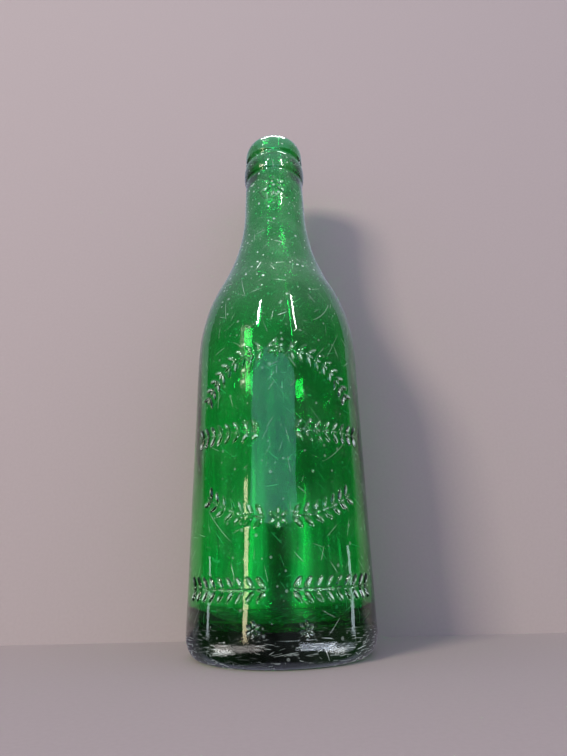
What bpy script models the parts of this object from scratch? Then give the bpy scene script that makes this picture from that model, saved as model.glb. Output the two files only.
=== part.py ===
"""A soda bottle of thick green glass, closed by a crown cap in use and shown open and empty.

The bottle stands on its base with +Z up, and its origin is the middle of the base. It is one piece of
glass, so it is one object: the outline of its wall, drawn in the XZ plane, is spun about the Z axis, and
bands of raised leafy branches are joined to its front, which faces -Y.
"""

import math

import bmesh
import bpy

MM = 0.001

# Base: the hollow underneath, the flat ring that the bottle stands on, and the glass above them
PUSH_UP_DEPTH = 3.0 * MM
BEARING_WIDTH = 3.0 * MM
BASE_THICKNESS = 6.5 * MM
FLOOR_RISE = 1.0 * MM
FLOOR_CORNER_RADIUS = 6.0 * MM

# Heel: the rounded corner between the base and the body
HEEL_WIDTH = 4.2 * MM
HEEL_HEIGHT = 7.2 * MM

# Body: upright, from the base to the start of the shoulder
BODY_DIAMETER = 61.5 * MM
BODY_HEIGHT = 99.0 * MM
BODY_WALL = 5.0 * MM

# Shoulder and flare: two arcs, tangent to each other, to the body and to the neck
SHOULDER_RADIUS = 69.0 * MM
FLARE_RADIUS = 96.0 * MM

# Neck: narrows a little from the flare to the collar
NECK_DIAMETER = 26.7 * MM
NECK_TOP_DIAMETER = 25.9 * MM
NECK_LENGTH = 15.0 * MM
NECK_WALL = 4.2 * MM

# Bore: straight below the mouth, then widening to the inside of the neck
BORE_DIAMETER = 16.0 * MM
BORE_DEPTH = 15.0 * MM
BORE_TAPER_HEIGHT = 9.0 * MM

# Finish: the collar, the groove that the cap's skirt grips in, and the lip that the cap seals on
COLLAR_DIAMETER = 27.6 * MM
COLLAR_HEIGHT = 9.6 * MM
GROOVE_DIAMETER = 24.8 * MM
GROOVE_HEIGHT = 1.0 * MM
LIP_DIAMETER = 26.4 * MM
LIP_UNDERCUT = 1.0 * MM
LIP_BAND_HEIGHT = 3.0 * MM
LIP_CROWN_HEIGHT = 6.5 * MM
RIM_WIDTH = 0.7 * MM
MOUTH_EDGE_RADIUS = 0.9 * MM

# Relief: leafy branches and blossoms made of small raised petals, in bands on the front and on the neck
RELIEF_HEIGHT = 0.6 * MM
RELIEF_ROOT = 0.15 * MM
SPRIG_HEIGHT = 6.6 * MM
SPRIG_PITCH = 3.3 * MM
MIDDLE_BRANCH_START = 6.7 * MM
LOW_BRANCH_START = 4.8 * MM
BOW_BRANCH_START = 5.4 * MM
ARCH_RADIUS = 31.5 * MM
SWAG_RADIUS = 48.0 * MM
BLOSSOM_DIAMETER = 5.8 * MM
HEEL_BLOSSOM_DIAMETER = 4.2 * MM
HEEL_BLOSSOM_GAP = 15.0 * MM
HEEL_BLOSSOM_RISE = 0.6 * MM
NECK_BLOSSOM_DIAMETER = 10.8 * MM

# Sprigs on each side of the middle of the front, and petals in a blossom
ARCH_SPRIGS = 9
MIDDLE_SPRIGS = 8
SWAG_SPRIGS = 7
LOW_SPRIGS = 9
BLOSSOM_PETALS = 6

# Heights of the bands, as shares of the body's height, and of the blossom above the foot of the neck, as a
# share of the neck's length
ARCH_SHARE = 0.94
MIDDLE_BAND_SHARE = 0.66
SWAG_SHARE = 0.394
LOW_BAND_SHARE = 0.2
NECK_BLOSSOM_SHARE = 0.3

# The petals of each mark: their two ends and their half width, as shares of the mark's height. A petal
# whose ends are the same is a bead.
SPRIG_SHARES = (
    ((-0.12, 0.07), (0.22, 0.5), 0.12),
    ((-0.12, -0.07), (0.22, -0.5), 0.12),
    ((-0.22, 0), (0.22, 0), 0.05),
)
BLOSSOM_PETAL_SHARES = ((0.17, 0), (0.5, 0), 0.12)
BLOSSOM_BEAD_SHARES = ((0, 0), (0, 0), 0.11)

# Fineness of the solid
TURN_STEPS = 64
SHOULDER_STEPS = 7
CORNER_STEPS = 4
DOME_STEPS = 3
SMOOTH_ANGLE = math.radians(40)
WELD_DISTANCE = 0.001 * MM
BEAD_SIDES = 5

# Places that follow from the sizes
BODY_RADIUS = BODY_DIAMETER / 2
BODY_INNER_RADIUS = BODY_RADIUS - BODY_WALL
NECK_RADIUS = NECK_DIAMETER / 2
NECK_INNER_RADIUS = NECK_RADIUS - NECK_WALL
BORE_RADIUS = BORE_DIAMETER / 2

GLASS_GREEN = (0.005, 0.16, 0.03, 1.0)
GLASS_ROUGHNESS = 0.06
GLASS_IOR = 1.52


def arc(centre, radii, start, end, steps=CORNER_STEPS):
    """Points of an upright elliptical arc, from one angle to another in degrees, both ends included."""
    points = []
    for i in range(steps + 1):
        angle = math.radians(start + (end - start) * i / steps)
        points.append((centre[0] + radii[0] * math.cos(angle), centre[1] + radii[1] * math.sin(angle)))
    return points


def dome(middle_height, edge_radius, edge_height):
    """Points of a shallow round dome, from its middle on the axis to its edge."""
    rise = middle_height - edge_height
    radius = (edge_radius**2 + rise**2) / (2 * rise)
    centre = (0, middle_height - radius)
    edge_angle = math.degrees(math.atan2(edge_height - centre[1], edge_radius))
    return arc(centre, (radius, radius), 90, edge_angle, DOME_STEPS)


def shoulder_curve(low_radius, high_radius, start_height, convex_radius, concave_radius):
    """Points of the S from an upright wall to a narrower upright wall, as two tangent arcs."""
    reach = convex_radius + concave_radius
    turn = math.degrees(math.acos(1 - (low_radius - high_radius) / reach))
    end_height = start_height + reach * math.sin(math.radians(turn))
    shoulder = arc(
        (low_radius - convex_radius, start_height),
        (convex_radius, convex_radius),
        0,
        turn,
        SHOULDER_STEPS,
    )
    flare = arc(
        (high_radius + concave_radius, end_height),
        (concave_radius, concave_radius),
        180 + turn,
        180,
        SHOULDER_STEPS,
    )
    return shoulder + flare[1:]


def base_and_heel():
    """From the middle of the hollow under the base, over the bearing ring, to the top of the heel."""
    bearing_outer = BODY_RADIUS - HEEL_WIDTH
    bearing_inner = bearing_outer - BEARING_WIDTH
    hollow = dome(PUSH_UP_DEPTH, bearing_inner, 0)
    heel = arc((bearing_outer, HEEL_HEIGHT), (HEEL_WIDTH, HEEL_HEIGHT), -90, 0)
    return hollow + heel


def finish(start_height):
    """From the top of the neck, over the collar and the lip, to the bore just inside the mouth."""
    neck_top_radius = NECK_TOP_DIAMETER / 2
    collar_radius = COLLAR_DIAMETER / 2
    groove_radius = GROOVE_DIAMETER / 2
    lip_radius = LIP_DIAMETER / 2
    half_collar = COLLAR_HEIGHT / 2

    collar_middle = start_height + half_collar
    groove_top = start_height + COLLAR_HEIGHT + GROOVE_HEIGHT
    lip_edge = groove_top + LIP_UNDERCUT
    band_top = lip_edge + LIP_BAND_HEIGHT
    rim_height = band_top + LIP_CROWN_HEIGHT
    edge_centre = (BORE_RADIUS + MOUTH_EDGE_RADIUS, rim_height - MOUTH_EDGE_RADIUS)
    rim_radius = edge_centre[0] + RIM_WIDTH

    points = arc((neck_top_radius, collar_middle), (collar_radius - neck_top_radius, half_collar), -90, 0)
    points += arc((groove_radius, collar_middle), (collar_radius - groove_radius, half_collar), 0, 90)[1:]
    points.append((groove_radius, groove_top))
    points.append((lip_radius, lip_edge))
    points += arc((rim_radius, band_top), (lip_radius - rim_radius, LIP_CROWN_HEIGHT), 0, 90)
    points += arc(edge_centre, (MOUTH_EDGE_RADIUS, MOUTH_EDGE_RADIUS), 90, 180, DOME_STEPS)
    return points


def inner_floor():
    """From the wall inside, round the corner, to the middle of the floor."""
    floor_middle = PUSH_UP_DEPTH + BASE_THICKNESS
    floor_edge = floor_middle - FLOOR_RISE
    corner_centre = (BODY_INNER_RADIUS - FLOOR_CORNER_RADIUS, floor_edge + FLOOR_CORNER_RADIUS)
    corner = arc(corner_centre, (FLOOR_CORNER_RADIUS, FLOOR_CORNER_RADIUS), 0, -90)
    floor = dome(floor_middle, corner_centre[0], floor_edge)
    return corner + floor[-2::-1]


def wall_outline():
    """The whole section of the glass on one side of the axis, from under the base to the floor inside."""
    outside = shoulder_curve(BODY_RADIUS, NECK_RADIUS, BODY_HEIGHT, SHOULDER_RADIUS, FLARE_RADIUS)
    inside = shoulder_curve(
        BODY_INNER_RADIUS,
        NECK_INNER_RADIUS,
        BODY_HEIGHT,
        SHOULDER_RADIUS - BODY_WALL,
        FLARE_RADIUS + NECK_WALL,
    )
    mouth = finish(outside[-1][1] + NECK_LENGTH)
    bore_end = mouth[-1][1] + MOUTH_EDGE_RADIUS - BORE_DEPTH
    bore = [(BORE_RADIUS, bore_end), (NECK_INNER_RADIUS, bore_end - BORE_TAPER_HEIGHT)]
    return base_and_heel() + outside + mouth + bore + inside[::-1] + inner_floor()


def placed(mark, across, height, size, turn=0, side=1):
    """A mark's petals on the unrolled surface: mirrored for side -1, sized, turned, placed."""
    cosine, sine = math.cos(turn) * size, math.sin(turn) * size
    petals = []
    for *ends, half_width in mark:
        ends = [(side * x, y) for x, y in ends]
        start, end = [(across + x * cosine - y * sine, height + x * sine + y * cosine) for x, y in ends]
        petals.append((start, end, half_width * size))
    return petals


def blossom(across, height, diameter):
    """Petals round a bead."""
    petals = placed([BLOSSOM_BEAD_SHARES], across, height, diameter)
    for i in range(BLOSSOM_PETALS):
        turn = math.tau * (i + 1 / 2) / BLOSSOM_PETALS
        petals += placed([BLOSSOM_PETAL_SHARES], across, height, diameter, turn)
    return petals


def branches(sprigs, start, middle_height, bow_radius=math.inf, bend=1):
    """Two leafy branches that run left and right, level or on an arch (bend 1) or a swag (bend -1)."""
    petals = []
    for side in (-1, 1):
        for i in range(sprigs):
            walked = side * (start + i * SPRIG_PITCH)
            angle = walked / bow_radius
            across = bow_radius * math.sin(angle) if angle else walked
            drop = bow_radius * (1 - math.cos(angle)) if angle else 0
            spot = (across, middle_height - bend * drop)
            petals += placed(SPRIG_SHARES, *spot, SPRIG_HEIGHT, -bend * angle, side)
    return petals


def body_petals():
    arch_height = ARCH_SHARE * BODY_HEIGHT
    swag_height = SWAG_SHARE * BODY_HEIGHT
    petals = branches(ARCH_SPRIGS, BOW_BRANCH_START, arch_height, ARCH_RADIUS, 1)
    petals += blossom(0, arch_height, BLOSSOM_DIAMETER)
    petals += branches(MIDDLE_SPRIGS, MIDDLE_BRANCH_START, MIDDLE_BAND_SHARE * BODY_HEIGHT)
    petals += branches(SWAG_SPRIGS, BOW_BRANCH_START, swag_height, SWAG_RADIUS, -1)
    petals += blossom(0, swag_height, BLOSSOM_DIAMETER)
    petals += branches(LOW_SPRIGS, LOW_BRANCH_START, LOW_BAND_SHARE * BODY_HEIGHT)
    heel_height = HEEL_HEIGHT + HEEL_BLOSSOM_RISE + HEEL_BLOSSOM_DIAMETER / 2
    for side in (-1, 1):
        petals += blossom(side * HEEL_BLOSSOM_GAP / 2, heel_height, HEEL_BLOSSOM_DIAMETER)
    return petals


def neck_petals(neck_foot):
    return blossom(0, neck_foot + NECK_BLOSSOM_SHARE * NECK_LENGTH, NECK_BLOSSOM_DIAMETER)


def add_petal(shape, petal, unrolled_radius, outline):
    """One petal as a closed solid: a low pointed roof on the wall, rooted a little way in the glass."""
    start, end, half_width = petal
    length = math.dist(start, end)

    def point(across, height, lift):
        radius = wall_radius(outline, height) + lift
        turn = across / unrolled_radius
        return shape.verts.new((radius * math.sin(turn), -radius * math.cos(turn), height))

    middle = ((start[0] + end[0]) / 2, (start[1] + end[1]) / 2)
    if length == 0:
        ring = arc(middle, (half_width, half_width), 0, 360, BEAD_SIDES)[:-1]
    else:
        side = (half_width * (end[1] - start[1]) / length, half_width * (start[0] - end[0]) / length)
        right = (middle[0] + side[0], middle[1] + side[1])
        left = (middle[0] - side[0], middle[1] - side[1])
        ring = [start, right, end, left]
    foot = [point(across, height, -RELIEF_ROOT) for across, height in ring]
    peak = point(*middle, RELIEF_HEIGHT)
    shape.faces.new(foot)
    for i in range(len(foot)):
        shape.faces.new([foot[i], foot[(i + 1) % len(foot)], peak])


def wall_radius(outline, height):
    """The outer radius at a height between the heel and the collar."""
    for (low_radius, low), (high_radius, high) in zip(outline, outline[1:]):
        if low <= height < high:
            return low_radius + (high_radius - low_radius) * (height - low) / (high - low)
    raise ValueError("this height is above or below the wall")


def relief_mesh(name):
    """All the petals, each a closed solid."""
    outside = shoulder_curve(BODY_RADIUS, NECK_RADIUS, BODY_HEIGHT, SHOULDER_RADIUS, FLARE_RADIUS)
    neck_foot = outside[-1][1]
    outline = [(BODY_RADIUS, HEEL_HEIGHT), *outside, (NECK_TOP_DIAMETER / 2, neck_foot + NECK_LENGTH)]
    shape = bmesh.new()
    for petal in body_petals():
        add_petal(shape, petal, BODY_RADIUS, outline)
    for petal in neck_petals(neck_foot):
        add_petal(shape, petal, NECK_RADIUS, outline)
    bmesh.ops.recalc_face_normals(shape, faces=shape.faces)
    mesh = bpy.data.meshes.new(name)
    shape.to_mesh(mesh)
    shape.free()
    return mesh


def glass_material():
    material = bpy.data.materials.new("green_glass")
    material.use_nodes = True
    shader = material.node_tree.nodes["Principled BSDF"]
    shader.inputs["Base Color"].default_value = GLASS_GREEN
    shader.inputs["Roughness"].default_value = GLASS_ROUGHNESS
    shader.inputs["Metallic"].default_value = 0.0
    shader.inputs["IOR"].default_value = GLASS_IOR
    shader.inputs["Transmission Weight"].default_value = 1.0
    return material


def turned_mesh(name, outline):
    """A closed mesh made by spinning an outline that starts and ends on the Z axis."""
    shape = bmesh.new()
    verts = [shape.verts.new((radius, 0, height)) for radius, height in outline]
    edges = [shape.edges.new(pair) for pair in zip(verts, verts[1:])]
    bmesh.ops.spin(
        shape,
        geom=verts + edges,
        cent=(0, 0, 0),
        axis=(0, 0, 1),
        angle=math.tau,
        steps=TURN_STEPS,
        use_merge=True,
    )
    bmesh.ops.remove_doubles(shape, verts=shape.verts, dist=WELD_DISTANCE)
    bmesh.ops.recalc_face_normals(shape, faces=shape.faces)
    mesh = bpy.data.meshes.new(name)
    shape.to_mesh(mesh)
    shape.free()
    mesh.shade_smooth()
    mesh.set_sharp_from_angle(angle=SMOOTH_ANGLE)
    return mesh


def main():
    for leftover in list(bpy.data.objects):
        bpy.data.objects.remove(leftover, do_unlink=True)
    bottle = bpy.data.objects.new("glass_bottle", turned_mesh("glass_bottle", wall_outline()))
    bottle.data.materials.append(glass_material())
    bpy.context.scene.collection.objects.link(bottle)

    relief = bpy.data.objects.new("relief", relief_mesh("relief"))
    relief.hide_render = True
    relief.display_type = "WIRE"
    bpy.context.scene.collection.objects.link(relief)
    join = bottle.modifiers.new("relief", "BOOLEAN")
    join.operation = "UNION"
    join.object = relief
    weld = bottle.modifiers.new("weld", "WELD")
    weld.merge_threshold = WELD_DISTANCE


main()
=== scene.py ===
import functools
import math

import bpy
import numpy as np
from mathutils import Matrix, Vector


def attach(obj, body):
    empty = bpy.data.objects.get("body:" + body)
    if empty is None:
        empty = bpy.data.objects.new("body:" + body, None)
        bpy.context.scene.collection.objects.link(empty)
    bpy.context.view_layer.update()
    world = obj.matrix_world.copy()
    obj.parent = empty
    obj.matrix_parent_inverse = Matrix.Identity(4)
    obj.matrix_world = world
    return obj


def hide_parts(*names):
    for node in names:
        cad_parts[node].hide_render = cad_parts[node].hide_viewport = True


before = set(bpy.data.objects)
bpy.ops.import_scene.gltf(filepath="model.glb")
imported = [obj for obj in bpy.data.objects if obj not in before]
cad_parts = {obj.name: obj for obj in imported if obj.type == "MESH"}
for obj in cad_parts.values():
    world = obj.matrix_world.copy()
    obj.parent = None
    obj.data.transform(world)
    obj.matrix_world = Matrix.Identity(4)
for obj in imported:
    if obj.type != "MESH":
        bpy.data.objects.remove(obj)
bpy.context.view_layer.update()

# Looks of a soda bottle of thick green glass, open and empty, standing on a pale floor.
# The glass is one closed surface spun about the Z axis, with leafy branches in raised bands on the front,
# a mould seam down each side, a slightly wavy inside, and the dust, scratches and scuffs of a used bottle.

MM = 0.001

# The bottle's sizes, as in the solid
PUSH_UP_DEPTH = 3.0 * MM
BEARING_WIDTH = 3.0 * MM
BASE_THICKNESS = 6.5 * MM
FLOOR_RISE = 1.0 * MM
FLOOR_CORNER_RADIUS = 6.0 * MM
HEEL_WIDTH = 4.2 * MM
HEEL_HEIGHT = 7.2 * MM
BODY_DIAMETER = 61.5 * MM
BODY_HEIGHT = 99.0 * MM
BODY_WALL = 5.0 * MM
SHOULDER_RADIUS = 69.0 * MM
FLARE_RADIUS = 96.0 * MM
NECK_DIAMETER = 26.7 * MM
NECK_TOP_DIAMETER = 25.9 * MM
NECK_LENGTH = 15.0 * MM
NECK_WALL = 4.2 * MM
BORE_DIAMETER = 16.0 * MM
BORE_DEPTH = 15.0 * MM
BORE_TAPER_HEIGHT = 9.0 * MM
COLLAR_DIAMETER = 27.6 * MM
COLLAR_HEIGHT = 9.6 * MM
GROOVE_DIAMETER = 24.8 * MM
GROOVE_HEIGHT = 1.0 * MM
LIP_DIAMETER = 26.4 * MM
LIP_UNDERCUT = 1.0 * MM
LIP_BAND_HEIGHT = 3.0 * MM
LIP_CROWN_HEIGHT = 6.5 * MM
RIM_WIDTH = 0.7 * MM
MOUTH_EDGE_RADIUS = 0.9 * MM

BODY_RADIUS = BODY_DIAMETER / 2
BODY_INNER_RADIUS = BODY_RADIUS - BODY_WALL
NECK_RADIUS = NECK_DIAMETER / 2
NECK_INNER_RADIUS = NECK_RADIUS - NECK_WALL
BORE_RADIUS = BORE_DIAMETER / 2

# Relief: leafy branches and blossoms made of small raised petals, in bands on the front and on the neck
RELIEF_HEIGHT = 0.6 * MM
SPRIG_HEIGHT = 6.6 * MM
SPRIG_PITCH = 3.3 * MM
MIDDLE_BRANCH_START = 6.7 * MM
LOW_BRANCH_START = 4.8 * MM
BOW_BRANCH_START = 5.4 * MM
ARCH_RADIUS = 31.5 * MM
SWAG_RADIUS = 48.0 * MM
BLOSSOM_DIAMETER = 5.8 * MM
HEEL_BLOSSOM_DIAMETER = 4.2 * MM
HEEL_BLOSSOM_GAP = 15.0 * MM
HEEL_BLOSSOM_RISE = 0.6 * MM
NECK_BLOSSOM_DIAMETER = 10.8 * MM
ARCH_SPRIGS = 9
MIDDLE_SPRIGS = 8
SWAG_SPRIGS = 7
LOW_SPRIGS = 9
BLOSSOM_PETALS = 6

# Heights of the bands, as shares of the body's height, and of the neck's blossom, as a share of its length
ARCH_SHARE = 0.94
MIDDLE_BAND_SHARE = 0.66
SWAG_SHARE = 0.394
LOW_BAND_SHARE = 0.2
NECK_BLOSSOM_SHARE = 0.3

# The petals of each mark: two ends and a half width, as shares of the mark's height
SPRIG_SHARES = (
    ((-0.12, 0.07), (0.22, 0.5), 0.12),
    ((-0.12, -0.07), (0.22, -0.5), 0.12),
    ((-0.22, 0), (0.22, 0), 0.05),
)
BLOSSOM_PETAL_SHARES = ((0.17, 0), (0.5, 0), 0.12)
BLOSSOM_BEAD_SHARES = ((0, 0), (0, 0), 0.11)
PETAL_STEEPNESS = 1.3
PETAL_TIP_ROUNDNESS = 0.6
RELIEF_RADIUS_SHARE = 0.8

# Mould seams, one down each side, with columns close beside them at these shares of the seam's half width
SEAM_HEIGHT = 0.1 * MM
SEAM_HALF_WIDTH = 0.4 * MM
SEAM_TOP_SHARE = 0.95
SEAM_COLUMNS = (-1.6, -1, -0.5, 0, 0.5, 1, 1.6)

# Slow waves in the glass: height, ripples round the bottle, lengths up it and seed. The outer ones end below
# the lip, and the inner ones fade in above the floor and out below the bore.
OUTER_WAVES = (0.03 * MM, (3, 7, 13), (47 * MM, 19 * MM), 3)
OUTER_WAVES_TOP = 190 * MM
INNER_WAVES = (0.12 * MM, (2, 5, 9), (210 * MM, 83 * MM), 8)
INNER_WAVES_ENDS = (16 * MM, 185 * MM)
INNER_WAVES_FADE = 20 * MM

# Fineness of the glass surface
COLUMNS = 160
FINE_STEPS = 5
CURVE_STEP = 0.05 * MM
CORNER_SOFTNESS = 0.22 * MM
ROW_STEP = 1.2 * MM
PLAIN_ROW_STEP = 1.8 * MM
FINISH_ROW_STEP = 0.4 * MM
HEEL_ROW_STEP = 0.6 * MM
INNER_ROW_STEP = 2.8 * MM

# The glass: tint of its surface and dust, a painted glow on its dust and marks, and the colour and strength
# of the green in its depth
GLASS_TINT = (0.93, 1.0, 0.95, 1)
DUST_TINT = (0.90, 0.97, 0.93, 1)
DUST_AND_MARK_PAINTED_GLOW = (0.44, 0.50, 0.48, 1)
DEPTH_COLOUR = (0.0, 0.85, 0.48, 1)
DEPTH_DENSITY = 490.0
GLASS_IOR = 1.52
DUST_COAT_IOR = 4.0
DUST_COAT_ROUGHNESS = 0.45
UNEVEN_SCALE = 120
UNEVEN_HEIGHT = 0.06 * MM
UNEVEN_STRENGTH = 0.5
MARK_DEPTH = -0.6

# Roughness of clean glass, and what the heel, the upper part and white marks add to it
CLEAN_ROUGHNESS = 0.03
HEEL_ROUGHNESS = 0.16
UPPER_ROUGHNESS = 0.07
MARK_ROUGHNESS = 0.4

# Heights over which the scuffs of the heel fade out, and the dust of the neck and shoulder comes in
HEEL_WEAR_HEIGHTS = (5 * MM, 11 * MM)
UPPER_DUST_HEIGHTS = (100 * MM, 150 * MM)

# Dust: cells in a metre, largest radius as a share of their spacing, and share of the cells with a speck
FINE_DUST = (900, 0.34, 0.4)
COARSE_DUST = (460, 0.24, 0.75)
FINE_DUST_STRENGTH = 0.5
COARSE_DUST_STRENGTH = 1.6
SPECK_UNLIKENESS = 1.6

# Dusty patches: noise scale and detail, and the noise values between which they begin and are full
PATCH_NOISE = (90, 3)
PATCH_EDGES = (0.42, 0.62)

# Strength of the specks and of the haze on the body, and what the neck and shoulder add
SPECK_SHARES = (0.16, 0.84)
HAZE_SHARES = (0.012, 0.018)
HAZE_BETWEEN_PATCHES = 0.4

# Scratches: cells in a metre, half width, reach, and share of the cells with one
EVERY_WAY, LEVEL = (1, 1, 1), (0.1, 0.1, 1)
HAIRLINES = ((85, 0.08 * MM, 8 * MM, 0.10), (230, 0.08 * MM, 3.2 * MM, 0.35))
HEEL_SCUFFS = (
    (170, 0.11 * MM, 4.5 * MM, 0.45),
    (320, 0.08 * MM, 2.8 * MM, 0.7),
    (560, 0.10 * MM, 1.2 * MM, 0.8),
)
SCRATCH_CORE_SHARE = 0.3
SCRATCH_BODY_SHARE = 0.4
HAIRLINE_SHARES = (0.35, 0.45)

# Worn patches of the heel, and the rubbed crests of the petals, partly real wear and partly a painted glint,
# with the gaps in them: noise and its edges
WORN_NOISE = (70, 3, 0.65)
WORN_EDGES = (0.40, 0.66)
WORN_BETWEEN_PATCHES = 0.15
RUBBED_GLINT_CREST = (0.55, 0.95)
RUBBED_GLINT_NOISE = (420, 3, 0.6)
RUBBED_GLINT_EDGES = (0.42, 0.58)
RUBBED_GLINT_STRENGTH = 0.7

# The pale ground: half its width, two tones of its grain, and the distances over which it fades out
GROUND_REACH = 2.0
GROUND_ROUGHNESS = 0.9
GROUND_SHINE = 0.2
GROUND_TONES = ((0.46, 0.41, 0.405, 1), (0.50, 0.45, 0.445, 1))
GROUND_GRAIN_SCALE = 900
GROUND_FADE = (0.15, 1.50)
MIRRORED_WALL_FADE = (0.10, 0.20)
WALL_GAP = 0.8 * MM
WALL_FOOT = -0.05
FLOOR_GAP = 0.05 * MM

# Light that the glass throws on the wall, painted there as a glow that only rays through the glass see. It
# ends over a range of heights, and is stronger low down and on the left. Each streak has a middle, a half
# width and the heights over which it ends.
THROWN_COLOUR = (1, 0.98, 0.94, 1)
THROWN_LEVEL = 0.06
THROWN_END = (95 * MM, 150 * MM)
THROWN_LOW = (40 * MM, 62 * MM)
THROWN_LOW_LEVEL = 0.10
THROWN_LEFT = (-8 * MM, 4 * MM)
THROWN_LEFT_LEVEL = 0.08
LEFT_STREAK = (-10.8 * MM, 6.4 * MM, 60 * MM, 90 * MM)
LEFT_STREAK_LEVEL = 0.30
RIGHT_STREAK = (8.8 * MM, 7.4 * MM, 42 * MM, 58 * MM)
RIGHT_STREAK_LEVEL = 0.38
DARK_WEDGE = (-1 * MM, 7 * MM, 40 * MM, 66 * MM)
STREAK_CORE_SHARE = 0.1
RIPPLE_STRETCH = (1, 1, 0.10)
RIPPLE_NOISE = (190, 3, 0.6)
RIPPLE_EDGES = (0.3, 0.7)
RIPPLE_SHARES = (0.4, 1.2)

# The room: its colour as seen and as it lights matt things, with its strength for each kind of ray
ROOM_SEEN = (0.42, 0.37, 0.375, 1)
ROOM_LIGHT = (0.59, 0.59, 0.80, 1)
ROOM_STRENGTH = 0.93
ROOM_SEEN_EXTRA = 0.07
ROOM_MIRRORED_EXTRA = -0.11

# Studio: a dark cloth in an arc round the front, which thins out towards its top edge
CURTAIN_RADIUS = 1.6
CURTAIN_HALF_ARC = 115
CURTAIN_COLUMNS = 24
CURTAIN_ENDS = (-4.0, 2.4)
CURTAIN_FADE = (0.45, 2.2)
CURTAIN_COLOUR = (0.01, 0.01, 0.01, 1)

# Lamps: azimuth and elevation in degrees, distance, width and height in metres, brightness and colour.
# The key lamp lights the ground, and the others only show as reflections in the glass.
LAMP_AIM_HEIGHT = 0.1
KEY_LAMP = ("key_panel", -44, 24, 2.4, 0.6, 0.6, 33.0, (1, 0.89, 0.72))
MIRRORED_LAMPS = (
    ("left_tube", -26, 38, 0.32, 0.012, 0.095, 60.0, (1, 1, 1)),
    ("right_tube", 27, 38, 0.32, 0.010, 0.15, 50.0, (1, 0.98, 0.92)),
    ("front_panel", -6, 10.5, 0.9, 0.95, 0.34, 2.2, (0.26, 0.56, 0.74)),
    ("low_warm", -40, -6, 0.8, 0.07, 0.30, 11.0, (1, 0.85, 0.55)),
    ("low_left", -53, -29, 0.8, 0.80, 0.20, 5.0, (1.0, 0.93, 0.90)),
    ("low_right", 43, -28, 0.8, 0.60, 0.22, 11.0, (0.76, 0.84, 1.0)),
    ("low_right_glow", 72, -31, 0.8, 0.60, 0.18, 2.8, (0.76, 0.84, 1.0)),
    ("left_window", -92, -9, 0.8, 0.05, 0.14, 4.5, (0.80, 0.90, 1.0)),
    ("right_window", 90, -9, 0.8, 0.07, 0.14, 5.0, (0.75, 0.88, 1.0)),
    ("under_left", -75, -36, 0.8, 0.30, 0.16, 11.0, (1, 1, 1)),
    ("under_right", 72, -36, 0.8, 0.30, 0.16, 11.0, (0.94, 0.98, 1)),
    ("over_front", 0, 92, 0.8, 0.50, 0.07, 34.0, (1, 1, 1)),
)

# Camera: place, turns in degrees, lens and sensor in mm, and upward shift as a share of the picture's height
CAMERA_PLACE = (2.71 * MM, -188.2 * MM, 27.5 * MM)
CAMERA_PITCH = 23.5
CAMERA_ROLL = 1.313
CAMERA_LENS = 24.05
CAMERA_SENSOR = 36
CAMERA_NEAR = 0.01
CAMERA_SHIFT = -38 / 756


def arc(centre, radii, start, end):
    """Points of an upright elliptical arc, from one angle to another in degrees, close together."""
    turn = math.radians(abs(end - start))
    steps = max(2, math.ceil(turn * max(radii) / CURVE_STEP))
    angles = np.radians(np.linspace(start, end, steps + 1))
    return [(centre[0] + radii[0] * math.cos(a), centre[1] + radii[1] * math.sin(a)) for a in angles]


def dome(middle_height, edge_radius, edge_height):
    """Points of a shallow round dome, from its middle on the axis to its edge."""
    rise = middle_height - edge_height
    radius = (edge_radius**2 + rise**2) / (2 * rise)
    centre = (0, middle_height - radius)
    edge_angle = math.degrees(math.atan2(edge_height - centre[1], edge_radius))
    return arc(centre, (radius, radius), 90, edge_angle)


def shoulder_curve(low_radius, high_radius, start_height, convex_radius, concave_radius):
    """Points of the S from an upright wall to a narrower upright wall, as two tangent arcs."""
    reach = convex_radius + concave_radius
    turn = math.degrees(math.acos(1 - (low_radius - high_radius) / reach))
    end_height = start_height + reach * math.sin(math.radians(turn))
    shoulder = arc((low_radius - convex_radius, start_height), (convex_radius, convex_radius), 0, turn)
    flare_centre = (high_radius + concave_radius, end_height)
    return shoulder + arc(flare_centre, (concave_radius, concave_radius), 180 + turn, 180)[1:]


def base_and_heel():
    """From the middle of the hollow under the base, over the bearing ring, to the top of the heel."""
    bearing_outer = BODY_RADIUS - HEEL_WIDTH
    hollow = dome(PUSH_UP_DEPTH, bearing_outer - BEARING_WIDTH, 0)
    return hollow + arc((bearing_outer, HEEL_HEIGHT), (HEEL_WIDTH, HEEL_HEIGHT), -90, 0)


def finish(start_height):
    """From the top of the neck, over the collar and the lip, to the bore just inside the mouth."""
    neck_top_radius = NECK_TOP_DIAMETER / 2
    collar_radius = COLLAR_DIAMETER / 2
    groove_radius = GROOVE_DIAMETER / 2
    lip_radius = LIP_DIAMETER / 2
    half_collar = COLLAR_HEIGHT / 2
    collar_middle = start_height + half_collar
    groove_top = start_height + COLLAR_HEIGHT + GROOVE_HEIGHT
    band_top = groove_top + LIP_UNDERCUT + LIP_BAND_HEIGHT
    rim_height = band_top + LIP_CROWN_HEIGHT
    edge_centre = (BORE_RADIUS + MOUTH_EDGE_RADIUS, rim_height - MOUTH_EDGE_RADIUS)
    rim_radius = edge_centre[0] + RIM_WIDTH

    points = arc((neck_top_radius, collar_middle), (collar_radius - neck_top_radius, half_collar), -90, 0)
    points += arc((groove_radius, collar_middle), (collar_radius - groove_radius, half_collar), 0, 90)[1:]
    points.append((groove_radius, groove_top))
    points.append((lip_radius, groove_top + LIP_UNDERCUT))
    points += arc((rim_radius, band_top), (lip_radius - rim_radius, LIP_CROWN_HEIGHT), 0, 90)
    points += arc(edge_centre, (MOUTH_EDGE_RADIUS, MOUTH_EDGE_RADIUS), 90, 180)
    return points


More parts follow.
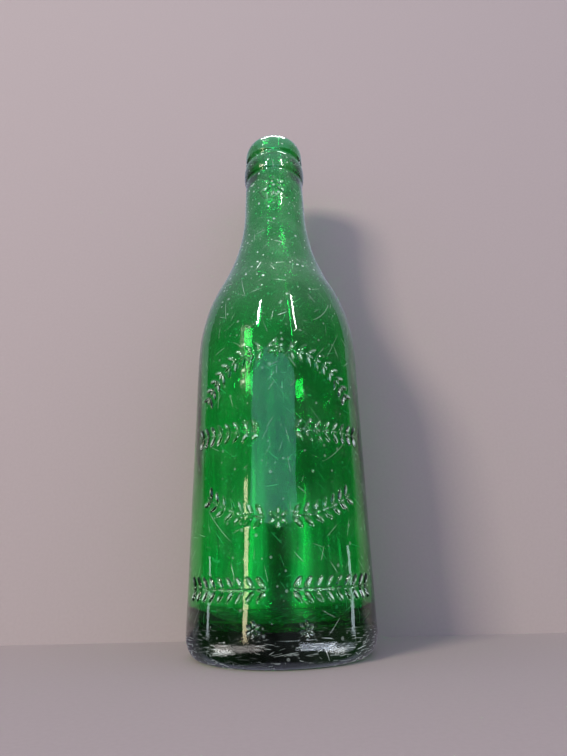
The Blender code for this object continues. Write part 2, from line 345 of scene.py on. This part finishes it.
def inner_floor():
    """From the wall inside, round the corner, to the middle of the floor."""
    floor_middle = PUSH_UP_DEPTH + BASE_THICKNESS
    floor_edge = floor_middle - FLOOR_RISE
    corner_centre = (BODY_INNER_RADIUS - FLOOR_CORNER_RADIUS, floor_edge + FLOOR_CORNER_RADIUS)
    corner = arc(corner_centre, (FLOOR_CORNER_RADIUS, FLOOR_CORNER_RADIUS), 0, -90)
    return corner + dome(floor_middle, corner_centre[0], floor_edge)[-2::-1]


def softened(points):
    """The same outline at even steps, with its corners rounded as moulded glass is."""
    points = np.array(points)
    lengths = np.hypot(*np.diff(points, axis=0).T)
    points = points[np.concatenate(([True], lengths > 0))]
    along = np.concatenate(([0], np.cumsum(lengths[lengths > 0])))
    even = np.linspace(0, along[-1], round(along[-1] / CURVE_STEP) + 1)
    line = np.stack([np.interp(even, along, points[:, k]) for k in (0, 1)], axis=1)
    reach = round(3 * CORNER_SOFTNESS / CURVE_STEP)
    weights = np.exp(-0.5 * (np.arange(-reach, reach + 1) * CURVE_STEP / CORNER_SOFTNESS) ** 2)
    weights /= weights.sum()
    padded = np.concatenate([line[:1].repeat(reach, 0), line, line[-1:].repeat(reach, 0)])
    smooth = np.stack([np.convolve(padded[:, k], weights, "valid") for k in (0, 1)], axis=1)
    smooth[0], smooth[-1] = line[0], line[-1]
    return smooth


def wall_rows():
    """The rows of the surface: radius, height, outward normal and whether the row is inside the bottle."""
    outside = shoulder_curve(BODY_RADIUS, NECK_RADIUS, BODY_HEIGHT, SHOULDER_RADIUS, FLARE_RADIUS)
    inside = shoulder_curve(
        BODY_INNER_RADIUS,
        NECK_INNER_RADIUS,
        BODY_HEIGHT,
        SHOULDER_RADIUS - BODY_WALL,
        FLARE_RADIUS + NECK_WALL,
    )
    neck_foot = outside[-1][1]
    neck_top = neck_foot + NECK_LENGTH
    mouth = finish(neck_top)
    bore_end = mouth[-1][1] + MOUTH_EDGE_RADIUS - BORE_DEPTH
    bore = [(BORE_RADIUS, bore_end), (NECK_INNER_RADIUS, bore_end - BORE_TAPER_HEIGHT)]
    outer = softened(base_and_heel() + outside + mouth)
    inner = softened(outer[-1:].tolist() + bore + inside[::-1] + inner_floor())

    def outer_spacing(radius, height):
        if height < HEEL_HEIGHT:
            return HEEL_ROW_STEP if radius > BODY_RADIUS - 2 * HEEL_WIDTH else PLAIN_ROW_STEP
        if height > neck_top - ROW_STEP:
            return FINISH_ROW_STEP
        plain = BODY_HEIGHT + SPRIG_HEIGHT < height < neck_foot - SPRIG_HEIGHT
        return PLAIN_ROW_STEP if plain else ROW_STEP

    outer_rows = chosen_rows(outer, outer_spacing)
    inner_rows = chosen_rows(inner, lambda radius, height: INNER_ROW_STEP)
    return outer_rows, inner_rows[1:], neck_foot


def chosen_rows(line, spacing):
    """Rows picked from a close outline, at a spacing that depends on the place."""
    rows = [0]
    walked = 0
    for i in range(1, len(line)):
        walked += math.dist(line[i], line[i - 1])
        if walked >= spacing(*line[i]) - CURVE_STEP / 2 or i == len(line) - 1:
            rows.append(i)
            walked = 0
    tangents = np.gradient(line, axis=0)
    tangents /= np.linalg.norm(tangents, axis=1)[:, None]
    normals = np.stack([tangents[:, 1], -tangents[:, 0]], axis=1)
    normals[0] = (0, math.copysign(1, normals[0][1]))
    normals[-1] = normals[-1] if line[-1][0] > CURVE_STEP else (0, 1)
    return np.hstack([line, normals])[rows]


def column_turns():
    """Angles of the columns round the bottle, from the back round to the back, close beside the seams."""
    even = np.linspace(-math.pi, math.pi, COLUMNS + 1)
    close = SEAM_HALF_WIDTH / BODY_RADIUS * np.array(SEAM_COLUMNS)
    from_seam = np.abs(np.abs(even) - math.pi / 2)
    even = even[from_seam > 2 * SEAM_HALF_WIDTH / BODY_RADIUS]
    return np.sort(np.concatenate([even, close - math.pi / 2, close + math.pi / 2]))


def placed(mark, across, height, size, turn=0, side=1):
    """A mark's petals on the unrolled surface: mirrored for side -1, sized, turned, placed."""
    cosine, sine = math.cos(turn) * size, math.sin(turn) * size
    petals = []
    for *ends, half_width in mark:
        ends = [(side * x, y) for x, y in ends]
        start, end = [(across + x * cosine - y * sine, height + x * sine + y * cosine) for x, y in ends]
        petals.append((start, end, half_width * size))
    return petals


def blossom(across, height, diameter):
    """Petals round a bead."""
    petals = placed([BLOSSOM_BEAD_SHARES], across, height, diameter)
    for i in range(BLOSSOM_PETALS):
        turn = math.tau * (i + 1 / 2) / BLOSSOM_PETALS
        petals += placed([BLOSSOM_PETAL_SHARES], across, height, diameter, turn)
    return petals


def branches(sprigs, start, middle_height, bow_radius=math.inf, bend=1):
    """Two leafy branches that run left and right, level or on an arch (bend 1) or a swag (bend -1)."""
    petals = []
    for side in (-1, 1):
        for i in range(sprigs):
            walked = side * (start + i * SPRIG_PITCH)
            angle = walked / bow_radius
            across = bow_radius * math.sin(angle) if angle else walked
            drop = bow_radius * (1 - math.cos(angle)) if angle else 0
            spot = (across, middle_height - bend * drop)
            petals += placed(SPRIG_SHARES, *spot, SPRIG_HEIGHT, -bend * angle, side)
    return petals


def body_petals():
    arch_height = ARCH_SHARE * BODY_HEIGHT
    swag_height = SWAG_SHARE * BODY_HEIGHT
    petals = branches(ARCH_SPRIGS, BOW_BRANCH_START, arch_height, ARCH_RADIUS, 1)
    petals += blossom(0, arch_height, BLOSSOM_DIAMETER)
    petals += branches(MIDDLE_SPRIGS, MIDDLE_BRANCH_START, MIDDLE_BAND_SHARE * BODY_HEIGHT)
    petals += branches(SWAG_SPRIGS, BOW_BRANCH_START, swag_height, SWAG_RADIUS, -1)
    petals += blossom(0, swag_height, BLOSSOM_DIAMETER)
    petals += branches(LOW_SPRIGS, LOW_BRANCH_START, LOW_BAND_SHARE * BODY_HEIGHT)
    heel_height = HEEL_HEIGHT + HEEL_BLOSSOM_RISE + HEEL_BLOSSOM_DIAMETER / 2
    for side in (-1, 1):
        petals += blossom(side * HEEL_BLOSSOM_GAP / 2, heel_height, HEEL_BLOSSOM_DIAMETER)
    return petals


def neck_petals(neck_foot):
    return blossom(0, neck_foot + NECK_BLOSSOM_SHARE * NECK_LENGTH, NECK_BLOSSOM_DIAMETER)


def along_and_gap(points, petal):
    """Where each point lies along a petal, from 0 to 1, and how far from its middle line."""
    start, end, half_width = petal
    offset = points - np.array(start)
    run = np.array(end) - np.array(start)
    length = run @ run
    along = np.clip(offset @ run / length, 0, 1) if length > 0 else np.full(len(points), 0.5)
    return along, np.linalg.norm(offset - np.outer(along, run), axis=1)


def beside(points, petal, margin):
    """Indices of the points in a petal's own box, widened by a margin."""
    start, end, half_width = petal
    low = np.minimum(start, end) - half_width - margin
    high = np.maximum(start, end) + half_width + margin
    return np.flatnonzero(np.all((points > low) & (points < high), axis=1))


def petal_rise(points, petals):
    """How far the petals raise each point of the unrolled surface: a round crest down each petal."""
    rise = np.zeros(len(points))
    for petal in petals:
        near = beside(points, petal, 0)
        along, gap = along_and_gap(points[near], petal)
        width = (4 * along * (1 - along)) ** PETAL_TIP_ROUNDNESS
        slope = np.clip(PETAL_STEEPNESS * (1 - gap / np.maximum(width * petal[2], CURVE_STEP / 10)), 0, 1)
        crest = slope * slope * (3 - 2 * slope) * np.sqrt(width)
        rise[near] = np.maximum(rise[near], RELIEF_HEIGHT * crest)
    return rise


def waves(turn, height, amplitude, turns, lengths, seed):
    """A smooth uneven surface, the same after a full turn: a sum of slanted ripples."""
    draw = np.random.default_rng(seed)
    total = np.zeros_like(turn)
    for count in turns:
        for length in lengths:
            total += np.sin(count * turn + math.tau * height / length + draw.uniform(0, math.tau))
    return amplitude * total / math.sqrt(len(turns) * len(lengths))


def in_band(radius, height, unrolled_radius, low, high):
    """Which places lie in a band of marks, on the upright part of the glass."""
    return (height > low) & (height < high) & (radius > unrolled_radius * RELIEF_RADIUS_SHARE)


def refined_cells(turns, outer_rows, reliefs):
    """Which cells of the outer surface a petal reaches, so that they need the fine mesh."""
    turn = (turns[1:] + turns[:-1]) / 2
    middle = (outer_rows[1:] + outer_rows[:-1]) / 2
    fine = np.zeros((len(turn), len(middle)), bool)
    reach = math.hypot(math.tau * BODY_RADIUS / COLUMNS, ROW_STEP) / 2
    for petals, unrolled_radius, low, high in reliefs:
        chosen = np.flatnonzero(in_band(middle[:, 0], middle[:, 1], unrolled_radius, low, high))
        grid_turn, grid_height = np.meshgrid(turn, middle[chosen, 1], indexing="ij")
        points = np.stack([grid_turn * unrolled_radius, grid_height], axis=-1).reshape(-1, 2)
        covered = np.zeros(len(points), bool)
        for petal in petals:
            near = beside(points, petal, reach)
            covered[near] |= along_and_gap(points[near], petal)[1] < petal[2] + reach
        fine[:, chosen] |= covered.reshape(grid_turn.shape)
    return fine


def glass_mesh(name):
    """The closed wall: coarse cells everywhere, and fine ones under the raised marks."""
    outer_rows, inner_rows, neck_foot = wall_rows()
    rows = np.vstack([outer_rows, inner_rows])
    turns = column_turns()
    columns = len(turns) - 1
    reliefs = (
        (body_petals(), BODY_RADIUS, HEEL_HEIGHT, BODY_HEIGHT + SPRIG_HEIGHT),
        (neck_petals(neck_foot), NECK_RADIUS, neck_foot - SPRIG_HEIGHT, neck_foot + NECK_LENGTH),
    )
    fine = np.zeros((columns, len(rows) - 1), bool)
    fine[:, : len(outer_rows) - 1] = refined_cells(turns, outer_rows, reliefs)
    n = FINE_STEPS
    index = {}

    def vertex(i, j):
        """The vertex at fine column i and fine row j. The first and last rows are single points."""
        i = 0 if j in (0, (len(rows) - 1) * n) else i % (columns * n)
        return index.setdefault((i, j), len(index))

    def edge(start, end, split):
        """Vertices from a cell's corner up to the next corner, without it."""
        steps = n if split else 1
        di, dj = (end[0] - start[0]) // steps, (end[1] - start[1]) // steps
        return [vertex(start[0] + k * di, start[1] + k * dj) for k in range(steps)]

    faces = []
    for j in range(len(rows) - 1):
        for i in range(columns):
            if fine[i, j]:
                for a in range(i * n, i * n + n):
                    for b in range(j * n, j * n + n):
                        spots = ((a, b), (a + 1, b), (a + 1, b + 1), (a, b + 1))
                        faces.append([vertex(*spot) for spot in spots])
                continue
            corners = [(i * n, j * n), (i * n + n, j * n), (i * n + n, j * n + n), (i * n, j * n + n)]
            below = j > 0 and fine[i, j - 1]
            right = fine[(i + 1) % columns, j]
            above = j < len(rows) - 2 and fine[i, j + 1]
            left = fine[i - 1, j]
            loop = []
            for k, split in enumerate((below, right, above, left)):
                loop += edge(corners[k], corners[(k + 1) % 4], split)
            faces.append(list(dict.fromkeys(loop)))

    keys = np.array(list(index))
    turn = np.interp(keys[:, 0] / n, np.arange(columns + 1), turns)
    place = keys[:, 1] / n
    row_numbers = np.arange(len(rows))
    radius, height, normal_out, normal_up = [np.interp(place, row_numbers, rows[:, k]) for k in range(4)]
    push, crest = raised(turn, radius, height, place > len(outer_rows) - 1, reliefs)
    pole = (keys[:, 1] == 0) | (keys[:, 1] == (len(rows) - 1) * n)
    push[pole] = 0
    out = radius + push * normal_out
    out[pole] = 0
    points = np.stack([out * np.sin(turn), -out * np.cos(turn), height + push * normal_up], axis=1)
    mesh = bpy.data.meshes.new(name)
    mesh.from_pydata(points.tolist(), [], faces)
    mesh.attributes.new("crest", "FLOAT", "POINT").data.foreach_set("value", crest)
    mesh.shade_smooth()
    return mesh


def raised(turn, radius, height, inside, reliefs):
    """How far each point of the glass stands out from the plain turned surface, and the petals' share of
    that, from 0 to 1 at their crests."""
    push = np.zeros(len(turn))
    outside = ~inside
    for petals, unrolled_radius, low, high in reliefs:
        chosen = np.flatnonzero(outside & in_band(radius, height, unrolled_radius, low, high))
        points = np.stack([turn[chosen] * unrolled_radius, height[chosen]], axis=1)
        push[chosen] += petal_rise(points, petals)
    crest = push / RELIEF_HEIGHT

    from_seam = np.abs(np.abs(turn) - math.pi / 2) * BODY_RADIUS / SEAM_HALF_WIDTH
    seam = np.clip(1 - from_seam, 0, 1)
    seam = seam * seam * (3 - 2 * seam) * np.clip(height / HEEL_HEIGHT, 0, 1) * radius / BODY_RADIUS
    push += np.where(outside & (radius > NECK_RADIUS * SEAM_TOP_SHARE), SEAM_HEIGHT * seam, 0)

    upright = outside & (height > HEEL_HEIGHT / 2) & (height < OUTER_WAVES_TOP)
    push += np.where(upright, waves(turn, height, *OUTER_WAVES), 0)
    low, high = INNER_WAVES_ENDS
    fade_in = np.clip((height - low) / INNER_WAVES_FADE, 0, 1)
    fade_out = np.clip((high - height) / INNER_WAVES_FADE, 0, 1)
    push += np.where(inside, fade_in * fade_out * waves(turn, height, *INNER_WAVES), 0)
    return push, crest


# Shader building
class Shading:
    """Adds nodes to a material, a node group or a world, and links them."""

    def __init__(self, tree):
        self.tree = tree

    def add(self, kind, **values):
        node = self.tree.nodes.new(kind)
        for key, value in values.items():
            setattr(node, key, value)
        return node

    def feed(self, socket, value):
        if isinstance(value, bpy.types.NodeSocket):
            self.tree.links.new(value, socket)
        else:
            socket.default_value = value

    def place(self):
        return self.add("ShaderNodeTexCoord").outputs["Object"]

    def axes(self, vector):
        node = self.add("ShaderNodeSeparateXYZ")
        self.feed(node.inputs[0], vector)
        return node.outputs

    def math(self, operation, *terms, clamp=False):
        node = self.add("ShaderNodeMath", operation=operation, use_clamp=clamp)
        for socket, term in zip(node.inputs, terms):
            self.feed(socket, term)
        return node.outputs[0]

    def product(self, *terms):
        return functools.reduce(lambda one, other: self.math("MULTIPLY", one, other), terms)

    def total(self, *terms):
        return functools.reduce(lambda one, other: self.math("ADD", one, other), terms)

    def most(self, *terms):
        return functools.reduce(lambda one, other: self.math("MAXIMUM", one, other), terms)

    def rest(self, share):
        """What a share leaves of 1."""
        return self.math("SUBTRACT", 1.0, share)

    def scaled(self, share, least, gain):
        """least where share is 0, and least + gain where it is 1."""
        return self.total(least, self.product(share, gain))

    def step(self, value, low, high):
        """0 below low, 1 above high, smooth between them."""
        node = self.add("ShaderNodeMapRange", interpolation_type="SMOOTHSTEP")
        self.feed(node.inputs["Value"], value)
        self.feed(node.inputs["From Min"], low)
        self.feed(node.inputs["From Max"], high)
        return node.outputs[0]

    def noise(self, vector, scale, detail=2.0, roughness=0.5):
        node = self.add("ShaderNodeTexNoise")
        self.feed(node.inputs["Vector"], vector)
        for name, value in (("Scale", scale), ("Detail", detail), ("Roughness", roughness)):
            node.inputs[name].default_value = value
        return node.outputs["Fac"]

    def vector(self, operation, *terms, output="Vector"):
        node = self.add("ShaderNodeVectorMath", operation=operation)
        for socket, term in zip(node.inputs, terms):
            self.feed(socket, term)
        return node.outputs[output]

    def cells(self, vector, scale):
        """A Voronoi pattern, with two random numbers for each of its cells."""
        pattern = self.add("ShaderNodeTexVoronoi", feature="F1")
        self.feed(pattern.inputs["Vector"], vector)
        pattern.inputs["Scale"].default_value = scale
        draws = self.add("ShaderNodeSeparateColor")
        self.feed(draws.inputs[0], pattern.outputs["Color"])
        return pattern.outputs, draws.outputs[0], draws.outputs[1]

    def specks(self, vector, scale, largest, share):
        """Scattered round specks of unlike sizes. largest is a share of the spacing."""
        pattern, size_draw, keep_draw = self.cells(vector, scale)
        size = self.product(self.math("POWER", size_draw, SPECK_UNLIKENESS), largest)
        kept = self.math("GREATER_THAN", keep_draw, 1 - share)
        return self.product(self.math("GREATER_THAN", size, pattern["Distance"]), kept)

    def scratches(self, vector, slants, scale, half_width, reach, share):
        """Short thin scratches, each one a slice through a cell of a Voronoi pattern. slants weighs the
        directions that the slices face, and share says how many cells have one."""
        pattern, _, keep_draw = self.cells(vector, scale)
        offset = self.vector("SUBTRACT", vector, pattern["Position"])
        facing = self.vector("SUBTRACT", pattern["Color"], (0.5, 0.5, 0.5))
        facing = self.vector("NORMALIZE", self.vector("MULTIPLY", facing, slants))
        across = self.math("ABSOLUTE", self.vector("DOT_PRODUCT", offset, facing, output="Value"))
        thin = self.rest(self.step(across, half_width * SCRATCH_CORE_SHARE, half_width))
        far = self.vector("LENGTH", offset, output="Value")
        ended = self.rest(self.step(far, reach * SCRATCH_BODY_SHARE, reach))
        return self.product(thin, ended, self.math("GREATER_THAN", keep_draw, 1 - share))

    def stretched(self, vector, scale):
        node = self.add("ShaderNodeMapping")
        self.feed(node.inputs["Vector"], vector)
        node.inputs["Scale"].default_value = scale
        return node.outputs[0]

    def blend(self, share, first, second):
        node = self.add("ShaderNodeMix", data_type="RGBA")
        self.feed(node.inputs["Factor"], share)
        self.feed(node.inputs[6], first)
        self.feed(node.inputs[7], second)
        return node.outputs[2]


def new_material(name):
    """A material with its shading helper and its Principled BSDF."""
    material = bpy.data.materials.new(name)
    material.use_nodes = True
    return material, Shading(material.node_tree), material.node_tree.nodes["Principled BSDF"]


def settled_dust(sh, place, upper, patches):
    """Specks and a thin haze of dust, most of them on the neck and shoulder. The glass also gives them a
    painted glow.
    """
    fine = sh.product(sh.specks(place, *FINE_DUST), FINE_DUST_STRENGTH, patches)
    coarse = sh.product(sh.specks(place, *COARSE_DUST), COARSE_DUST_STRENGTH)
    specks = sh.product(sh.most(fine, coarse), sh.scaled(upper, *SPECK_SHARES))
    haze = sh.product(sh.total(patches, HAZE_BETWEEN_PATCHES), sh.scaled(upper, *HAZE_SHARES))
    return sh.most(specks, haze)


def wear_marks_and_glints(sh, place, heel, patches):
    """Hairlines all over, scuffs round the heel, and crests of the raised petals worn white. All of them
    also get a painted glow, which on the crests is a painted glint.
    """
    hair = sh.most(*[sh.scratches(place, EVERY_WAY, *kind) for kind in HAIRLINES])
    hair = sh.product(hair, sh.scaled(patches, *HAIRLINE_SHARES))
    scuffs = sh.most(*[sh.scratches(place, LEVEL, *kind) for kind in HEEL_SCUFFS])
    worn = sh.step(sh.noise(place, *WORN_NOISE), *WORN_EDGES)
    scuffs = sh.product(scuffs, heel, sh.total(worn, WORN_BETWEEN_PATCHES))
    crest = sh.add("ShaderNodeAttribute", attribute_name="crest").outputs["Fac"]
    broken = sh.step(sh.noise(place, *RUBBED_GLINT_NOISE), *RUBBED_GLINT_EDGES)
    # Crests of the petals: real wear, and through the glass's glow a painted glint along them
    rubbed_glint = sh.product(sh.step(crest, *RUBBED_GLINT_CREST), broken, RUBBED_GLINT_STRENGTH)
    return sh.most(hair, scuffs, rubbed_glint)


def green_glass():
    """Emerald glass with dust, hairline scratches, a scuffed heel and worn crests, all with a painted glow,
    which on the crests stands in for glints.
    """
    material, sh, shader = new_material("green_glass")
    place = sh.place()
    height = sh.axes(place)["Z"]
    heel = sh.rest(sh.step(height, *HEEL_WEAR_HEIGHTS))
    upper = sh.step(height, *UPPER_DUST_HEIGHTS)
    patches = sh.step(sh.noise(place, *PATCH_NOISE), *PATCH_EDGES)
    dust = settled_dust(sh, place, upper, patches)
    marks = wear_marks_and_glints(sh, place, heel, patches)
    white = sh.math("MAXIMUM", dust, marks, clamp=True)

    sh.feed(shader.inputs["Base Color"], sh.blend(white, GLASS_TINT, DUST_TINT))
    rough = sh.scaled(heel, CLEAN_ROUGHNESS, HEEL_ROUGHNESS)
    rough = sh.total(rough, sh.product(upper, UPPER_ROUGHNESS), sh.product(white, MARK_ROUGHNESS))
    sh.feed(shader.inputs["Roughness"], rough)
    sh.feed(shader.inputs["Coat Weight"], white)
    # The dust, hairlines, scuffs and worn crests glow: painted light standing in for the light they catch,
    # and a painted glint on the crests
    sh.feed(shader.inputs["Emission Color"], sh.blend(white, (0, 0, 0, 1), DUST_AND_MARK_PAINTED_GLOW))
    shader.inputs["Emission Strength"].default_value = 1.0
    shader.inputs["Coat Roughness"].default_value = DUST_COAT_ROUGHNESS
    shader.inputs["Coat IOR"].default_value = DUST_COAT_IOR
    shader.inputs["Metallic"].default_value = 0.0
    shader.inputs["IOR"].default_value = GLASS_IOR
    shader.inputs["Transmission Weight"].default_value = 1.0

    bump = sh.add("ShaderNodeBump")
    bump.inputs["Strength"].default_value = UNEVEN_STRENGTH
    bump.inputs["Distance"].default_value = UNEVEN_HEIGHT
    sh.feed(bump.inputs["Height"], sh.total(sh.noise(place, UNEVEN_SCALE), sh.product(marks, MARK_DEPTH)))
    sh.feed(shader.inputs["Normal"], bump.outputs[0])

    depth = sh.add("ShaderNodeVolumeAbsorption")
    depth.inputs["Color"].default_value = DEPTH_COLOUR
    depth.inputs["Density"].default_value = DEPTH_DENSITY
    sh.feed(material.node_tree.nodes["Material Output"].inputs["Volume"], depth.outputs[0])
    return material


def ground_grain():
    """The finish that the floor and the wall share: a fine grain of two tones, and a cover that fades out
    with the distance from the bottle."""
    group = bpy.data.node_groups.new("ground_grain", "ShaderNodeTree")
    wanted = (
        ("Place", "INPUT", "NodeSocketVector"),
        ("First Tone", "INPUT", "NodeSocketColor"),
        ("Second Tone", "INPUT", "NodeSocketColor"),
        ("Fade Start", "INPUT", "NodeSocketFloat"),
        ("Fade End", "INPUT", "NodeSocketFloat"),
        ("Colour", "OUTPUT", "NodeSocketColor"),
        ("Distance", "OUTPUT", "NodeSocketFloat"),
        ("Cover", "OUTPUT", "NodeSocketFloat"),
    )
    for name, side, kind in wanted:
        group.interface.new_socket(name=name, in_out=side, socket_type=kind)
    sh = Shading(group)
    given = sh.add("NodeGroupInput").outputs
    result = sh.add("NodeGroupOutput").inputs
    grain = sh.noise(given["Place"], GROUND_GRAIN_SCALE)
    sh.feed(result["Colour"], sh.blend(grain, given["First Tone"], given["Second Tone"]))
    distance = sh.vector("LENGTH", given["Place"], output="Value")
    sh.feed(result["Distance"], distance)
    sh.feed(result["Cover"], sh.rest(sh.step(distance, given["Fade Start"], given["Fade End"])))
    return group


def pale_ground(name, grain, one_sided):
    """Matt pale floor or wall, which fades out round the bottle so that no edge or horizon shows.
    A one-sided wall can be seen through from behind."""
    material, sh, shader = new_material(name)
    place = sh.place()
    finish = sh.add("ShaderNodeGroup", node_tree=grain)
    values = (place, *GROUND_TONES, *GROUND_FADE)
    for socket, value in zip(finish.inputs, values):
        sh.feed(socket, value)
    sh.feed(shader.inputs["Base Color"], finish.outputs["Colour"])
    shader.inputs["Roughness"].default_value = GROUND_ROUGHNESS
    shader.inputs["Specular IOR Level"].default_value = GROUND_SHINE
    cover = finish.outputs["Cover"]
    if one_sided:
        behind = sh.add("ShaderNodeNewGeometry").outputs["Backfacing"]
        rays = sh.add("ShaderNodeLightPath").outputs
        far = sh.step(finish.outputs["Distance"], *MIRRORED_WALL_FADE)
        cover = sh.product(cover, sh.rest(behind), sh.rest(sh.product(far, rays["Is Glossy Ray"])))
        # The wall glows where rays through the glass see it: painted light standing in for the light the
        # glass throws on it
        light = sh.product(thrown_light(sh, place), rays["Is Transmission Ray"])
        sh.feed(shader.inputs["Emission Color"], sh.blend(light, (0, 0, 0, 1), THROWN_COLOUR))
        shader.inputs["Emission Strength"].default_value = 1.0
    sh.feed(shader.inputs["Alpha"], cover)
    return material


def thrown_light(sh, place):
    """The painted light that stands in for what the glass throws on the wall close behind it: soft on the
    whole, with a streak down the left, one low down on the right, and a dark wedge of shade between them."""
    axes = sh.axes(place)
    across, height = axes["X"], axes["Z"]

    def streak(middle, half_width, start, end):
        gap = sh.math("ABSOLUTE", sh.math("SUBTRACT", across, middle))
        beside = sh.rest(sh.step(gap, half_width * STREAK_CORE_SHARE, half_width))
        return sh.product(beside, sh.rest(sh.step(height, start, end)))

    light = sh.total(
        THROWN_LEVEL,
        sh.product(sh.rest(sh.step(height, *THROWN_LOW)), THROWN_LOW_LEVEL),
        sh.product(sh.rest(sh.step(across, *THROWN_LEFT)), THROWN_LEFT_LEVEL),
        sh.product(streak(*LEFT_STREAK), LEFT_STREAK_LEVEL),
        sh.product(streak(*RIGHT_STREAK), RIGHT_STREAK_LEVEL),
    )
    ripples = sh.step(sh.noise(sh.stretched(place, RIPPLE_STRETCH), *RIPPLE_NOISE), *RIPPLE_EDGES)
    ended = sh.rest(sh.step(height, *THROWN_END))
    return sh.product(light, sh.rest(streak(*DARK_WEDGE)), sh.scaled(ripples, *RIPPLE_SHARES), ended)


def dark_cloth():
    """Matt black, thinning out towards the top."""
    material, sh, shader = new_material("dark_cloth")
    shader.inputs["Base Color"].default_value = CURTAIN_COLOUR
    shader.inputs["Roughness"].default_value = 1.0
    shader.inputs["Specular IOR Level"].default_value = 0.0
    sh.feed(shader.inputs["Alpha"], sh.rest(sh.step(sh.axes(sh.place())["Z"], *CURTAIN_FADE)))
    return material


def add_piece(name, mesh, material):
    piece = bpy.data.objects.new(name, mesh)
    piece.data.materials.append(material)
    bpy.context.scene.collection.objects.link(piece)
    return piece


def sheet(name, corners, place, material):
    """A flat backdrop, which isn't part of the bottle."""
    mesh = bpy.data.meshes.new(name)
    mesh.from_pydata(corners, [], [(0, 1, 2, 3)])
    backdrop = add_piece(name, mesh, material)
    backdrop.location = place
    return backdrop


def dark_curtain():
    """A dark cloth hung in an arc round the front. The glass mirrors it, and nothing else sees it."""
    edge = math.radians(CURTAIN_HALF_ARC)
    turns = np.linspace(-edge, edge, CURTAIN_COLUMNS + 1)
    line = [(CURTAIN_RADIUS * math.sin(turn), -CURTAIN_RADIUS * math.cos(turn)) for turn in turns]
    mesh = bpy.data.meshes.new("dark_curtain")
    points = [(x, y, z) for x, y in line for z in CURTAIN_ENDS]
    mesh.from_pydata(points, [], [(i, i + 2, i + 3, i + 1) for i in range(0, 2 * CURTAIN_COLUMNS, 2)])
    curtain = add_piece("dark_curtain", mesh, dark_cloth())
    for kind in ("camera", "transmission", "diffuse", "shadow"):
        setattr(curtain, "visible_" + kind, False)


def panel(name, azimuth, elevation, distance, width, height, brightness, colour):
    """A lit rectangle that faces the bottle. Azimuth 0 is in front, and grows to the right."""
    lamp = bpy.data.lights.new(name, "AREA")
    lamp.shape = "RECTANGLE"
    lamp.size = width
    lamp.size_y = height
    lamp.energy = brightness * math.pi * width * height
    lamp.color = colour
    light = bpy.data.objects.new(name, lamp)
    a, e = math.radians(azimuth), math.radians(elevation)
    aim = Vector((0, 0, LAMP_AIM_HEIGHT))
    place = aim + distance * Vector((math.sin(a) * math.cos(e), -math.cos(a) * math.cos(e), math.sin(e)))
    light.location = place
    light.rotation_euler = (aim - place).to_track_quat("-Z", "Y").to_euler()
    light.visible_camera = False
    bpy.context.scene.collection.objects.link(light)
    return light


def surroundings():
    """A plain pale room."""
    world = bpy.data.worlds.new("pale_room")
    bpy.context.scene.world = world
    world.use_nodes = True
    sh = Shading(world.node_tree)
    background = world.node_tree.nodes["Background"]
    rays = sh.add("ShaderNodeLightPath").outputs
    seen = sh.most(rays["Is Camera Ray"], rays["Is Transmission Ray"])
    mirrored = sh.product(rays["Is Glossy Ray"], ROOM_MIRRORED_EXTRA)
    sh.feed(background.inputs["Color"], sh.blend(seen, ROOM_LIGHT, ROOM_SEEN))
    strength = sh.total(sh.scaled(seen, ROOM_STRENGTH, ROOM_SEEN_EXTRA), mirrored)
    sh.feed(background.inputs["Strength"], strength)


def camera():
    """Low in front of the bottle, looking up along it."""
    pitch, roll = math.radians(CAMERA_PITCH), math.radians(CAMERA_ROLL)
    ahead = Vector((0, math.cos(pitch), math.sin(pitch)))
    up = Vector((0, -math.sin(pitch), math.cos(pitch)))
    right = Vector((1, 0, 0))
    tilted_right = math.cos(roll) * right - math.sin(roll) * up
    tilted_up = math.sin(roll) * right + math.cos(roll) * up
    data = bpy.data.cameras.new("camera")
    data.sensor_width = CAMERA_SENSOR
    data.lens = CAMERA_LENS
    data.shift_y = CAMERA_SHIFT
    data.clip_start = CAMERA_NEAR
    view = bpy.data.objects.new("camera", data)
    turn = Matrix((tilted_right, tilted_up, -ahead)).transposed()
    view.matrix_world = Matrix.Translation(CAMERA_PLACE) @ turn.to_4x4()
    bpy.context.scene.collection.objects.link(view)
    bpy.context.scene.camera = view


def backdrops():
    """A floor under the bottle and a wall close behind it. The glass doesn't mirror the floor."""
    grain = ground_grain()
    r = GROUND_REACH
    flat = [(-r, -r, 0), (r, -r, 0), (r, r, 0), (-r, r, 0)]
    floor = sheet("floor", flat, (0, 0, -FLOOR_GAP), pale_ground("pale_floor", grain, False))
    floor.visible_glossy = False
    upright = [(-r, 0, WALL_FOOT), (r, 0, WALL_FOOT), (r, 0, r), (-r, 0, r)]
    sheet("wall_behind", upright, (0, BODY_RADIUS + WALL_GAP, 0), pale_ground("pale_wall", grain, True))
    dark_curtain()


def main():
    bottle = add_piece("bottle_glass", glass_mesh("bottle_glass"), green_glass())
    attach(bottle, "root")
    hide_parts("glass_bottle")

    backdrops()
    panel(*KEY_LAMP).visible_glossy = False
    for lamp in MIRRORED_LAMPS:
        panel(*lamp).visible_diffuse = False
    surroundings()
    camera()
    bpy.context.scene.view_settings.view_transform = "Standard"


main()
